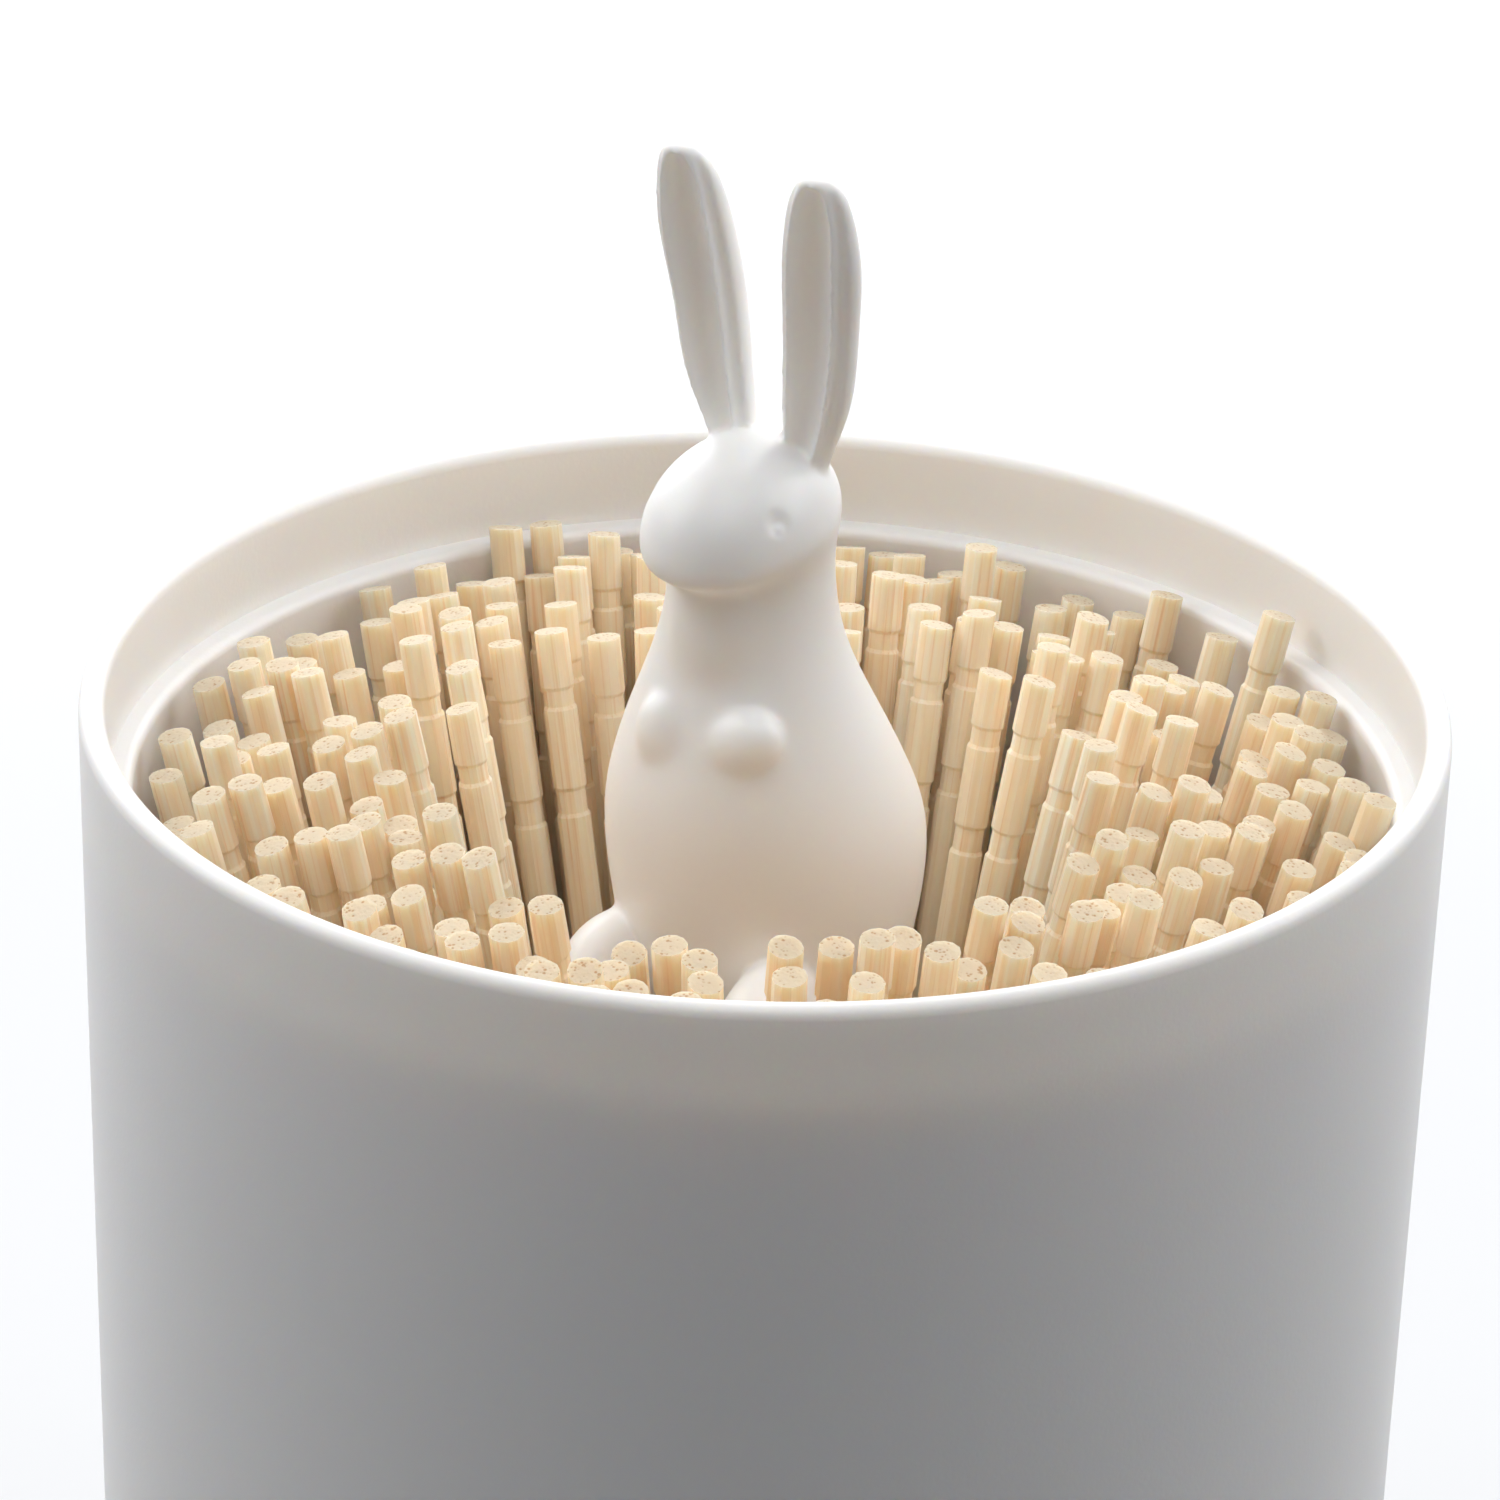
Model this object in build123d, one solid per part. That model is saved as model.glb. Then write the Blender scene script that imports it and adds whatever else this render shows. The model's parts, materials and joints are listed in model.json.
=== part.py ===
from build123d import *

import math
import os
import random

import numpy as np
from scipy.spatial import cKDTree

# Toothpick holder: a round cup with a rabbit in the middle, ringed by toothpicks that fan out.
# The rabbit is the pull of a lift. It stands on a tube that also carries the tray of toothpicks,
# and the tube runs on a spindle fixed to the floor of the cup.
# Millimetres, +Z up, origin on the table under the middle of the cup, rabbit facing -Y.

# Cup
rim_diameter = 77.0
cup_height = 76.0
wall_draft = 1.04
lip_thickness = 1.5
lip_edge_radius = 0.73
lid_seat_depth = 5.4
lid_seat_width = 1.4
lid_seat_edge_radius = 0.6
floor_thickness = 2.2
floor_corner_radius = 3.0
base_edge_radius = 2.0
base_recess_depth = 1.6
base_ring_width = 6.0

# Guide
spindle_diameter = 4.0
spindle_flange_diameter = 14.0
spindle_flange_thickness = 1.2
running_clearance = 0.05
bush_wall = 0.9
bush_length = 12.0
bush_end_play = 0.1
lift_travel = 32.0
stop_gap = 0.1
washer_thickness = 0.8
washer_clearance = 0.15

# Screws
base_screw_diameter = 2.2
base_screw_head_diameter = 4.4
base_screw_head_height = 1.3
base_screw_bite = 8.0
stop_screw_diameter = 2.0
stop_screw_head_diameter = 3.8
stop_screw_head_height = 1.4
stop_screw_bite = 7.0
screw_hole_clearance = 0.2
recess_slot_width = 0.6
recess_slot_depth = 0.7
recess_slot_share = 0.6
screw_head_round_share = 0.4

# Lift
tube_wall = 1.0
tube_shoulder = 0.4
socket_depth = 12.0
tray_floor_thickness = 1.3
tray_floor_diameter = 37.0
tray_wall_height = 10.0
tray_wall_flare = 20.0
tray_wall_thickness = 1.4
tray_edge_radius = 0.55
tray_hub_height = 5.0
tray_hub_wall = 0.8

# Rabbit, with heights above its own base and forward meaning towards -Y
rabbit_drop = 19.5
body_heights = (0.0, 1.2, 4.0, 8.0, 11.5, 15.0, 18.5, 22.0, 25.0, 28.0, 31.5)
body_radii = (6.5, 7.3, 8.2, 8.9, 9.1, 8.5, 7.3, 5.9, 5.0, 4.7, 4.6)
body_forward = (-0.7, -0.7, -0.7, -0.6, -0.3, 0.4, 1.1, 1.6, 1.8, 1.9, 1.9)
head_half_width = 5.25
head_half_length = 6.8
head_crown = 5.4
head_jaw = 1.4
head_forward = 2.95
head_height = 30.6
head_pitch = 9.0
throat_half_size = (3.0, 2.6, 5.5)
throat_forward = 5.1
throat_height = 26.0
ear_heights = (30.0, 33.5, 37.0, 41.0, 45.0, 48.5, 50.8, 52.0, 52.5)
ear_half_widths = (0.8, 1.3, 1.85, 2.2, 2.35, 2.25, 1.85, 1.3, 0.6)
ear_half_depths = (0.9, 1.25, 1.55, 1.7, 1.75, 1.6, 1.25, 0.85, 0.4)
ear_sideways = (1.7, 2.25, 2.9, 3.45, 3.8, 4.1, 4.25, 4.35, 4.35)
ear_forward = (0.3, 0.4, 0.6, 1.0, 1.6, 2.3, 2.8, 3.1, 3.2)
ear_scoop_shares = (0.48, 0.52, 0.56, 0.58, 0.58, 0.58, 0.55, 0.35)
ear_scoop_depth = 1.05
ear_groove_bearing = 56.0
ear_groove_radii = (0.3, 0.34, 0.36, 0.36, 0.36, 0.34, 0.28, 0.16)
paw_half_sizes = ((2.6, 1.7, 1.9), (2.0, 1.7, 2.5))
paw_tilts = (-22.0, 0.0)
paw_sideways = (2.8, -2.0)
paw_forward = (6.8, 6.9)
paw_heights = (19.9, 19.2)
foot_half_size = (2.4, 4.6, 3.8)
foot_place = (5.4, 7.2)
foot_height = 3.2

# Toothpicks
pick_diameter = 2.0
pick_length = 65.0
pick_point_length = 14.0
pick_point_diameter = 0.5
pick_gap = 0.12
pick_lean_allowance = 1.03
pick_seat_gap = 0.15
pick_fill = 0.71
pick_rise = 3.0
loose_pick_rise = 4.5
loose_pick_bearing = 62.0
loose_pick_gap = 0.3
pick_groups = 12
foot_well_diameter = 24.6
foot_well_offset = (0.0, -1.5)
head_well_diameter = 37.0
head_well_offset = (2.7, -3.6)
wall_gap = 0.35
relax_rounds = 1000
gap_check_steps = 24
seed = 12

UPRIGHT = (Align.CENTER, Align.CENTER, Align.MIN)

# Heights and radii that several pieces share
rim_radius = rim_diameter / 2
slope = math.tan(math.radians(wall_draft))
lip_inner_radius = rim_radius - lip_thickness
seat_height = cup_height - lid_seat_depth
seat_outer_radius = lip_inner_radius - lid_seat_depth * slope
seat_inner_radius = seat_outer_radius - lid_seat_width
floor_top = base_recess_depth + floor_thickness
lift_bottom = floor_top + spindle_flange_thickness
tray_top = lift_bottom + tray_floor_thickness
bush_top = tray_top + bush_length
shoulder_height = bush_top + bush_end_play
spindle_top = bush_top + lift_travel + stop_gap
spindle_radius = spindle_diameter / 2
bush_inner_radius = spindle_radius + running_clearance
bush_outer_radius = bush_inner_radius + bush_wall
tube_pocket_radius = bush_outer_radius + running_clearance
tube_radius = tube_pocket_radius + tube_wall
tube_bore_radius = tube_pocket_radius - tube_shoulder
rabbit_base = cup_height - rabbit_drop
tube_top = rabbit_base + socket_depth
hub_radius = tube_radius + tray_hub_wall
tray_floor_radius = tray_floor_diameter / 2
tray_rim_height = tray_top + tray_wall_height
pick_radius = pick_diameter / 2
pick_foot = tray_top + pick_seat_gap


def wall_outside(height):
    """Outer radius of the cup's wall at a height."""
    return rim_radius - (cup_height - height) * slope


def wall_inside(height):
    """Inner radius of the cup at a height, below or above the lid seat."""
    if height >= seat_height:
        return lip_inner_radius - (cup_height - height) * slope
    return seat_inner_radius - (seat_height - height) * slope


def tray_inside(height):
    """Inner radius of the tray's flared wall at a height."""
    return tray_floor_radius + (height - tray_top) * math.tan(math.radians(tray_wall_flare))


def post(radius, bottom, top):
    """Upright cylinder on the middle axis between two heights."""
    return Pos(0, 0, bottom) * Cylinder(radius, top - bottom, align=UPRIGHT)


def round_corner(section, corner, radius):
    """Round the corner of a flat section that lies nearest to a point."""
    return fillet(section.vertices().sort_by_distance(corner)[0], radius)


def turned(points, corners):
    """Turn an outline of (radius, height) points about the middle axis, with some corners rounded."""
    section = make_face(Polyline(*points, close=True))
    for corner, radius in corners:
        section = round_corner(section, corner, radius)
    return revolve(Plane.XZ * section, Axis.Z)


def ellipsoid(half_size):
    """Ellipsoid about the origin from its three half sizes."""
    return scale(Sphere(1), by=half_size)


def make_cup_body():
    """Cup with a rolled lip, a lid seat, a recessed base and a hole for the base screw."""
    hole_radius = base_screw_diameter / 2 + screw_hole_clearance
    recess_radius = wall_outside(0) - base_ring_width
    base_edge = (wall_outside(0), 0)
    lip_outside = (rim_radius, cup_height)
    lip_inside = (lip_inner_radius, cup_height)
    seat_edge = (seat_inner_radius, seat_height)
    floor_corner = (wall_inside(floor_top), floor_top)
    outline = [
        (hole_radius, base_recess_depth),
        (recess_radius, base_recess_depth),
        (recess_radius, 0),
        base_edge,
        lip_outside,
        lip_inside,
        (seat_outer_radius, seat_height),
        seat_edge,
        floor_corner,
        (hole_radius, floor_top),
    ]
    corners = [
        (base_edge, base_edge_radius),
        (lip_outside, lip_edge_radius),
        (lip_inside, lip_edge_radius),
        (seat_edge, lid_seat_edge_radius),
        (floor_corner, floor_corner_radius),
    ]
    return turned(outline, corners)


def make_guide_spindle():
    """Post with a flange that stands on the floor and a pilot hole in each end."""
    flange = post(spindle_flange_diameter / 2, floor_top, lift_bottom)
    shaft = post(spindle_radius, floor_top, spindle_top)
    base_pilot = post(base_screw_diameter / 2, floor_top, floor_top + base_screw_bite)
    stop_pilot = post(stop_screw_diameter / 2, spindle_top - stop_screw_bite, spindle_top)
    return flange + shaft - base_pilot - stop_pilot


def make_screw(head_diameter, head_height, diameter, length):
    """Screw hanging below the origin, with a rounded head and a cross recess on top."""
    head = post(head_diameter / 2, 0, head_height)
    head = fillet(head.edges().sort_by(Axis.Z)[-1], head_height * screw_head_round_share)
    shank = post(diameter / 2, -length, 0)
    slot_bottom = head_height - recess_slot_depth
    slot_length = head_diameter * recess_slot_share
    slot = Pos(0, 0, slot_bottom) * Box(slot_length, recess_slot_width, head_height, align=UPRIGHT)
    return head + shank - slot - Rot(0, 0, 90) * slot


def make_base_screw():
    """Screw up through the floor into the foot of the spindle."""
    length = floor_thickness + base_screw_bite
    screw = make_screw(base_screw_head_diameter, base_screw_head_height, base_screw_diameter, length)
    return Pos(0, 0, base_recess_depth) * Rot(180, 0, 0) * screw


def make_stop_washer():
    """Washer on top of the spindle, wider than the bore of the bush."""
    ring = post(tube_bore_radius - washer_clearance, spindle_top, spindle_top + washer_thickness)
    hole = post(stop_screw_diameter / 2 + running_clearance, spindle_top, spindle_top + washer_thickness)
    return ring - hole


def make_stop_screw():
    """Screw that holds the stop washer to the top of the spindle."""
    length = washer_thickness + stop_screw_bite
    screw = make_screw(stop_screw_head_diameter, stop_screw_head_height, stop_screw_diameter, length)
    return Pos(0, 0, spindle_top + washer_thickness) * screw


def make_guide_bush():
    """Plain bush that slides on the spindle and turns in the foot of the tube."""
    ring = post(bush_outer_radius, tray_top, bush_top)
    return ring - post(bush_inner_radius, tray_top, bush_top)


def make_lift_tube():
    """Tube from the tray up into the rabbit, with a wider pocket for the bush at its foot."""
    tube = post(tube_radius, tray_top, tube_top)
    pocket = post(tube_pocket_radius, tray_top, shoulder_height)
    bore = post(tube_bore_radius, tray_top, tube_top)
    return tube - pocket - bore


def make_toothpick_tray():
    """Dish with a hub round the tube and a flared wall that gathers the points of the toothpicks."""
    hole_radius = bush_inner_radius + running_clearance
    wall_foot = (tray_floor_radius, tray_top)
    wall_lip = (tray_inside(tray_rim_height), tray_rim_height)
    lip_outside = (wall_lip[0] + tray_wall_thickness, tray_rim_height)
    heel = (tray_floor_radius + tray_wall_thickness, lift_bottom)
    outline = [
        (hole_radius, lift_bottom),
        heel,
        lip_outside,
        wall_lip,
        wall_foot,
        (hub_radius, tray_top),
        (hub_radius, tray_top + tray_hub_height),
        (tube_radius, tray_top + tray_hub_height),
        (tube_radius, tray_top),
        (hole_radius, tray_top),
    ]
    return turned(outline, [(corner, tray_edge_radius) for corner in (lip_outside, wall_lip, heel)])


def make_ear():
    """Leaf-shaped ear on the +X side with a hollow front, a thin rim and a groove along each side of it."""
    leaf = []
    table = list(zip(ear_heights, ear_half_widths, ear_half_depths, ear_sideways, ear_forward))
    for height, half_width, half_depth, sideways, forward in table:
        leaf.append(Pos(sideways, -forward, height) * Ellipse(half_width, half_depth))
    scoop = []
    for (height, half_width, half_depth, sideways, forward), share in zip(table, ear_scoop_shares):
        rim = -forward - half_depth * math.sqrt(1 - share ** 2)
        depth = ear_scoop_depth * half_width * share / (max(ear_half_widths) * max(ear_scoop_shares))
        scoop.append(Pos(sideways, rim, height) * Ellipse(half_width * share, depth))
    ear = loft(leaf) - loft(scoop)
    bearing = math.radians(ear_groove_bearing)
    for side in (1, -1):
        groove = []
        for (height, half_width, half_depth, sideways, forward), radius in zip(table, ear_groove_radii):
            across = sideways + side * half_width * math.sin(bearing)
            ahead = -forward - half_depth * math.cos(bearing)
            groove.append(Pos(across, ahead, height) * Circle(radius))
        ear -= loft(groove)
    return ear


def make_head():
    """Egg-shaped head with a high crown over a shallow jaw."""
    crown = ellipsoid((head_half_width, head_half_length, head_crown))
    jaw = ellipsoid((head_half_width, head_half_length, head_jaw))
    return split(crown, Plane.XY, keep=Keep.TOP) + split(jaw, Plane.XY, keep=Keep.BOTTOM)


def make_rabbit_figure():
    """Rabbit in one moulding, with a blind socket for the tube in its base."""
    sections = []
    for height, radius, forward in zip(body_heights, body_radii, body_forward):
        sections.append(Pos(0, -forward, height) * Circle(radius))
    rabbit = loft(sections)
    rabbit += Pos(0, -head_forward, head_height) * Rot(head_pitch, 0, 0) * make_head()
    rabbit += Pos(0, -throat_forward, throat_height) * ellipsoid(throat_half_size)
    paws = zip(paw_sideways, paw_forward, paw_heights, paw_tilts, paw_half_sizes)
    for sideways, forward, height, tilt, half_size in paws:
        rabbit += Pos(sideways, -forward, height) * Rot(0, tilt, 0) * ellipsoid(half_size)
    foot = Pos(foot_place[0], -foot_place[1], foot_height) * ellipsoid(foot_half_size)
    foot = split(foot, Plane.XY, keep=Keep.TOP)
    for piece in (make_ear(), foot):
        rabbit += piece
        rabbit += mirror(piece, Plane.YZ)
    rabbit -= post(tube_radius, 0, socket_depth)
    return Pos(0, 0, rabbit_base) * rabbit


def pick_radius_at(height):
    """Radius of a toothpick at a height above its point."""
    share = min(height / pick_point_length, 1.0)
    return pick_point_diameter / 2 + (pick_radius - pick_point_diameter / 2) * share


def well_at(height):
    """Radius and middle of the space that is kept free round the rabbit, which widens upwards."""
    share = (height - rabbit_base) / rabbit_drop
    radius = (foot_well_diameter + (head_well_diameter - foot_well_diameter) * share) / 2
    offset = np.array(foot_well_offset) * (1 - share) + np.array(head_well_offset) * share
    return radius, offset


def pick_levels():
    """Levels at which the toothpicks are kept apart.

    Each level has the share of the way up, the stick's radius there, the radius and the middle of
    the space that is kept free inside, and the radius that the sticks stay within.
    """
    half_point = pick_foot + pick_point_length / 2
    full_stick = pick_foot + pick_point_length
    under_seat = seat_height - pick_diameter
    table = []
    for height in (pick_foot, half_point, tray_rim_height, full_stick, rabbit_base, under_seat, cup_height):
        radius = pick_radius_at(height - pick_foot)
        outer = wall_inside(height) - wall_gap - radius
        if height <= tray_rim_height:
            outer = tray_inside(height) - wall_gap - radius
        inner, middle = hub_radius + wall_gap, np.zeros(2)
        if height >= rabbit_base:
            inner, middle = well_at(height)
        table.append(((height - pick_foot) / pick_length, radius, inner + radius, middle, outer))
    return table


def keep_within(places, inner, middle, outer):
    """Push of each place out of the inner space and back inside the outer limit."""
    from_well = places - middle
    reach = np.linalg.norm(from_well, axis=1, keepdims=True)
    push = from_well / reach * np.maximum(inner - reach, 0.0)
    reach = np.linalg.norm(places, axis=1, keepdims=True)
    return push - places / reach * np.maximum(reach - outer, 0.0)


def spread_apart(places, spacing):
    """Push of each place away from the neighbours that are closer than the spacing."""
    push = np.zeros_like(places)
    pairs = cKDTree(places).query_pairs(spacing, output_type="ndarray")
    offsets = places[pairs[:, 0]] - places[pairs[:, 1]]
    distances = np.linalg.norm(offsets, axis=1, keepdims=True)
    steps = 0.5 * offsets * (spacing / distances - 1)
    np.add.at(push, pairs[:, 0], steps)
    np.add.at(push, pairs[:, 1], -steps)
    return push


def start_ring(count, inner, outer):
    """Even spiral of places between two radii."""
    turn = math.pi * (3 - math.sqrt(5))
    places = []
    for index in range(count):
        share = (index + 0.5) / count
        radius = math.sqrt(inner ** 2 + (outer ** 2 - inner ** 2) * share)
        places.append((radius * math.cos(index * turn), radius * math.sin(index * turn)))
    return np.array(places)


def scatter(chance, count, reach):
    """Random shifts of up to a reach each way."""
    shifts = [(chance.uniform(-reach, reach), chance.uniform(-reach, reach)) for _ in range(count)]
    return np.array(shifts)


def lean_toothpicks():
    """Feet and heads of the toothpicks on two levels, leaning a little at random and clear of each other."""
    levels = pick_levels()
    chance = random.Random(seed)
    crowd_radius = tray_inside(tray_rim_height)
    spot = (pick_radius + pick_gap / 2) * pick_lean_allowance
    count = int(pick_fill * (crowd_radius ** 2 - hub_radius ** 2) / spot ** 2)
    _, _, foot_inner, _, foot_outer = levels[0]
    _, _, head_inner, _, head_outer = levels[-1]
    feet = start_ring(count, foot_inner, foot_outer)
    heads = start_ring(count, head_inner, head_outer)
    heads += scatter(chance, count, pick_diameter)
    for _ in range(relax_rounds):
        for share, radius, inner, middle, outer in levels:
            places = feet + (heads - feet) * share
            push = spread_apart(places, (2 * radius + pick_gap) * pick_lean_allowance)
            push += keep_within(places + push, inner, middle, outer)
            weight = (1 - share) ** 2 + share ** 2
            feet += push * (1 - share) / weight
            heads += push * share / weight
    return feet, heads


def clear_of_others(feet, heads):
    """Whether each toothpick keeps the least gap to the loose one, which is first, and to those before it."""
    spans = heads - feet
    slant = np.sqrt(1 + (np.linalg.norm(spans, axis=1) / pick_length) ** 2)
    keep = np.ones(len(feet), dtype=bool)
    closest = np.full((len(feet), len(feet)), np.inf)
    for step in range(gap_check_steps + 1):
        share = step / gap_check_steps
        places = feet + spans * share
        distances = np.linalg.norm(places[:, None, :] - places[None, :, :], axis=2)
        distances /= np.maximum(slant[:, None], slant[None, :])
        closest = np.minimum(closest, distances - 2 * pick_radius_at(pick_length * share))
    for index in range(1, len(feet)):
        kept = closest[index, :index][keep[:index]]
        keep[index] = kept[0] > loose_pick_gap and kept.min() > pick_gap / 2
    return keep


def place_toothpicks():
    """Start and direction of each toothpick that stands clear, the raised one first."""
    feet, heads = lean_toothpicks()
    bearing = math.radians(loose_pick_bearing)
    aim = np.array((math.cos(bearing), math.sin(bearing))) * rim_radius
    order = np.linalg.norm(heads - aim, axis=1).argsort()
    feet, heads = feet[order], heads[order]
    keep = clear_of_others(feet, heads)
    chance = random.Random(seed)
    axes = []
    for foot, head in zip(feet[keep].tolist(), heads[keep].tolist()):
        direction = Vector(head[0] - foot[0], head[1] - foot[1], pick_length).normalized()
        rise = chance.uniform(0, pick_rise) if axes else loose_pick_rise
        axes.append((Vector(*foot, pick_foot) + direction * rise, direction))
    return axes


def make_toothpick():
    """One toothpick with its point at the origin, standing along +Z."""
    outline = [
        (0, 0),
        (pick_point_diameter / 2, 0),
        (pick_radius, pick_point_length),
        (pick_radius, pick_length),
        (0, pick_length),
    ]
    return turned(outline, [])


def set_toothpick(stick, axis):
    """Copy of the toothpick on an axis."""
    start, direction = axis
    return Plane(origin=start, z_dir=direction).location * stick


def group_of(axis):
    """Number of the sector that a toothpick's head lies in."""
    head = axis[0] + axis[1] * pick_length
    bearing = math.atan2(head.Y, head.X) % (2 * math.pi)
    return int(bearing / (2 * math.pi) * pick_groups)


def make_toothpick_groups():
    """Loose toothpick and the sectors of the others, each sector a set of separate sticks."""
    stick = make_toothpick()
    loose_axis, *axes = place_toothpicks()
    nodes = {"loose_toothpick": set_toothpick(stick, loose_axis)}
    print("toothpicks", len(axes) + 1)
    print("loose toothpick axis", loose_axis[1])
    for group in range(pick_groups):
        sticks = [set_toothpick(stick, axis) for axis in axes if group_of(axis) == group]
        nodes[f"toothpicks_{group + 1:02d}"] = Compound(children=sticks)
    return nodes


def make_nodes():
    """Every piece of the holder by its name."""
    nodes = {
        "cup_body": make_cup_body(),
        "guide_spindle": make_guide_spindle(),
        "base_screw": make_base_screw(),
        "stop_washer": make_stop_washer(),
        "stop_screw": make_stop_screw(),
        "guide_bush": make_guide_bush(),
        "lift_tube": make_lift_tube(),
        "toothpick_tray": make_toothpick_tray(),
        "rabbit_figure": make_rabbit_figure(),
    }
    nodes.update(make_toothpick_groups())
    return nodes


def main():
    """Write one STEP file for each piece."""
    os.makedirs("parts", exist_ok=True)
    for name, shape in make_nodes().items():
        export_step(shape, f"parts/{name}.step")


if __name__ == "__main__":
    main()
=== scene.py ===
"""Toothpick holder: a satin white cup, a rabbit on a lift and a fan of bamboo toothpicks."""

import json
import logging
import math
import random
from dataclasses import dataclass, field, replace
from enum import Enum
from typing import Any, Sequence, TypeVar

import bmesh
import bpy
from mathutils import Matrix, Vector

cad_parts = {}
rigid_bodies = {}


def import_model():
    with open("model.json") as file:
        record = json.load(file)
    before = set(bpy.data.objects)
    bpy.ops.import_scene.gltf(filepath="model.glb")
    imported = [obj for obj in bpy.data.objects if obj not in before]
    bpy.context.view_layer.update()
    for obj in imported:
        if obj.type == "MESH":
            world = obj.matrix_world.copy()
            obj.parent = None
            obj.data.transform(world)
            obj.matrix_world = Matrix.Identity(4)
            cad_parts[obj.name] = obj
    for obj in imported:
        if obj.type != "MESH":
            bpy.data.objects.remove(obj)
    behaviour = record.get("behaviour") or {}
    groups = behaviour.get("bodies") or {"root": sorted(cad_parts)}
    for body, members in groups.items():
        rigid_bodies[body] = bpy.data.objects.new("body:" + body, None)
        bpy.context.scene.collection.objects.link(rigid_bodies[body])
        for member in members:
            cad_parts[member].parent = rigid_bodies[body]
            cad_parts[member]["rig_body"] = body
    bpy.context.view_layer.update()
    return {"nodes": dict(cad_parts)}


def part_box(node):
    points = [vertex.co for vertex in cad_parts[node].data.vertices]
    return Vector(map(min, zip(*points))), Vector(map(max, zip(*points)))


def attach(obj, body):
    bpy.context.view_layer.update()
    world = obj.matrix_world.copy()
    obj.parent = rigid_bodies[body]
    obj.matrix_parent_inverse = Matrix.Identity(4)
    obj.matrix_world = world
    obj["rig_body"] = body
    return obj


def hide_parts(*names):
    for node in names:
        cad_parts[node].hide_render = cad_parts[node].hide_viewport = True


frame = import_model()

log = logging.getLogger("toothpick_holder")
MM = 0.001
WHITE = "#FFFFFF"

# Gaps below which corners count as one, or as lying at a place
WELD = 1e-7
TOUCH = 1e-6
NEAR = 1e-5

# The sRGB curve: a straight toe below the knee, a power above it
SRGB_KNEE = 0.04045
SRGB_TOE = 12.92
SRGB_OFFSET = 0.055
SRGB_POWER = 2.4

# Share of the way to its neighbours' middle that a corner goes in one round of smoothing
SMOOTH_SHARE = 0.5
# Bevel profile of a true arc
ARC = 0.5


class Body(Enum):
    """Bodies of the frame that carry the cup and the rabbit."""

    CUP = "cup"
    LIFT = "lift"


class Slot(Enum):
    """Material slots of the pieces that are modelled here."""

    CUP_WHITE = "cup_white"
    RABBIT_WHITE = "rabbit_white"
    BAMBOO = "bamboo"


def linear(code: str) -> tuple[float, float, float, float]:
    """Turn an sRGB hex colour into linear light.

    Args:
        code: Colour such as "#F2EFEA".

    Returns:
        Red, green, blue and full alpha.
    """
    channels = []
    for start in (1, 3, 5):
        value = int(code[start:start + 2], 16) / 255
        if value <= SRGB_KNEE:
            channels.append(value / SRGB_TOE)
        else:
            channels.append(((value + SRGB_OFFSET) / (1 + SRGB_OFFSET)) ** SRGB_POWER)
    return (*channels, 1.0)


def add_node(
    tree: bpy.types.NodeTree,
    kind: str,
    inputs: dict[Any, Any] | None = None,
    **settings: Any,
) -> bpy.types.Node:
    """Add a shader node with its settings, values and links.

    Args:
        tree: Node tree that gets the node.
        kind: Blender's type name of the node.
        inputs: Socket name or number, with a value or the socket to link from.
        settings: Properties of the node itself.

    Returns:
        The new node.
    """
    node = tree.nodes.new(kind)
    for name, value in settings.items():
        setattr(node, name, value)
    for key, value in (inputs or {}).items():
        if isinstance(value, bpy.types.NodeSocket):
            tree.links.new(value, node.inputs[key])
        else:
            node.inputs[key].default_value = value
    return node


def new_material(name: str) -> tuple[bpy.types.Material, bpy.types.NodeTree]:
    """Make an empty node material.

    Args:
        name: Name of the finish.

    Returns:
        The material and its cleared node tree.
    """
    material = bpy.data.materials.new(name)
    material.use_nodes = True
    material.node_tree.nodes.clear()
    return material, material.node_tree


def select_only(piece: bpy.types.Object) -> None:
    """Make one object the only selected and active one."""
    bpy.ops.object.select_all(action="DESELECT")
    piece.select_set(True)
    bpy.context.view_layer.objects.active = piece


def apply_modifier(piece: bpy.types.Object, kind: str, **settings: Any) -> None:
    """Add a modifier to a piece and apply it.

    Args:
        piece: Object that is shaped.
        kind: Blender's type name of the modifier.
        settings: Properties of the modifier.
    """
    select_only(piece)
    modifier = piece.modifiers.new(kind.lower(), kind)
    for name, value in settings.items():
        setattr(modifier, name, value)
    bpy.ops.object.modifier_apply(modifier=modifier.name)


def dress(piece: bpy.types.Object, material: bpy.types.Material) -> None:
    """Give a piece one material all over."""
    piece.data.materials.clear()
    piece.data.materials.append(material)


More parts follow.
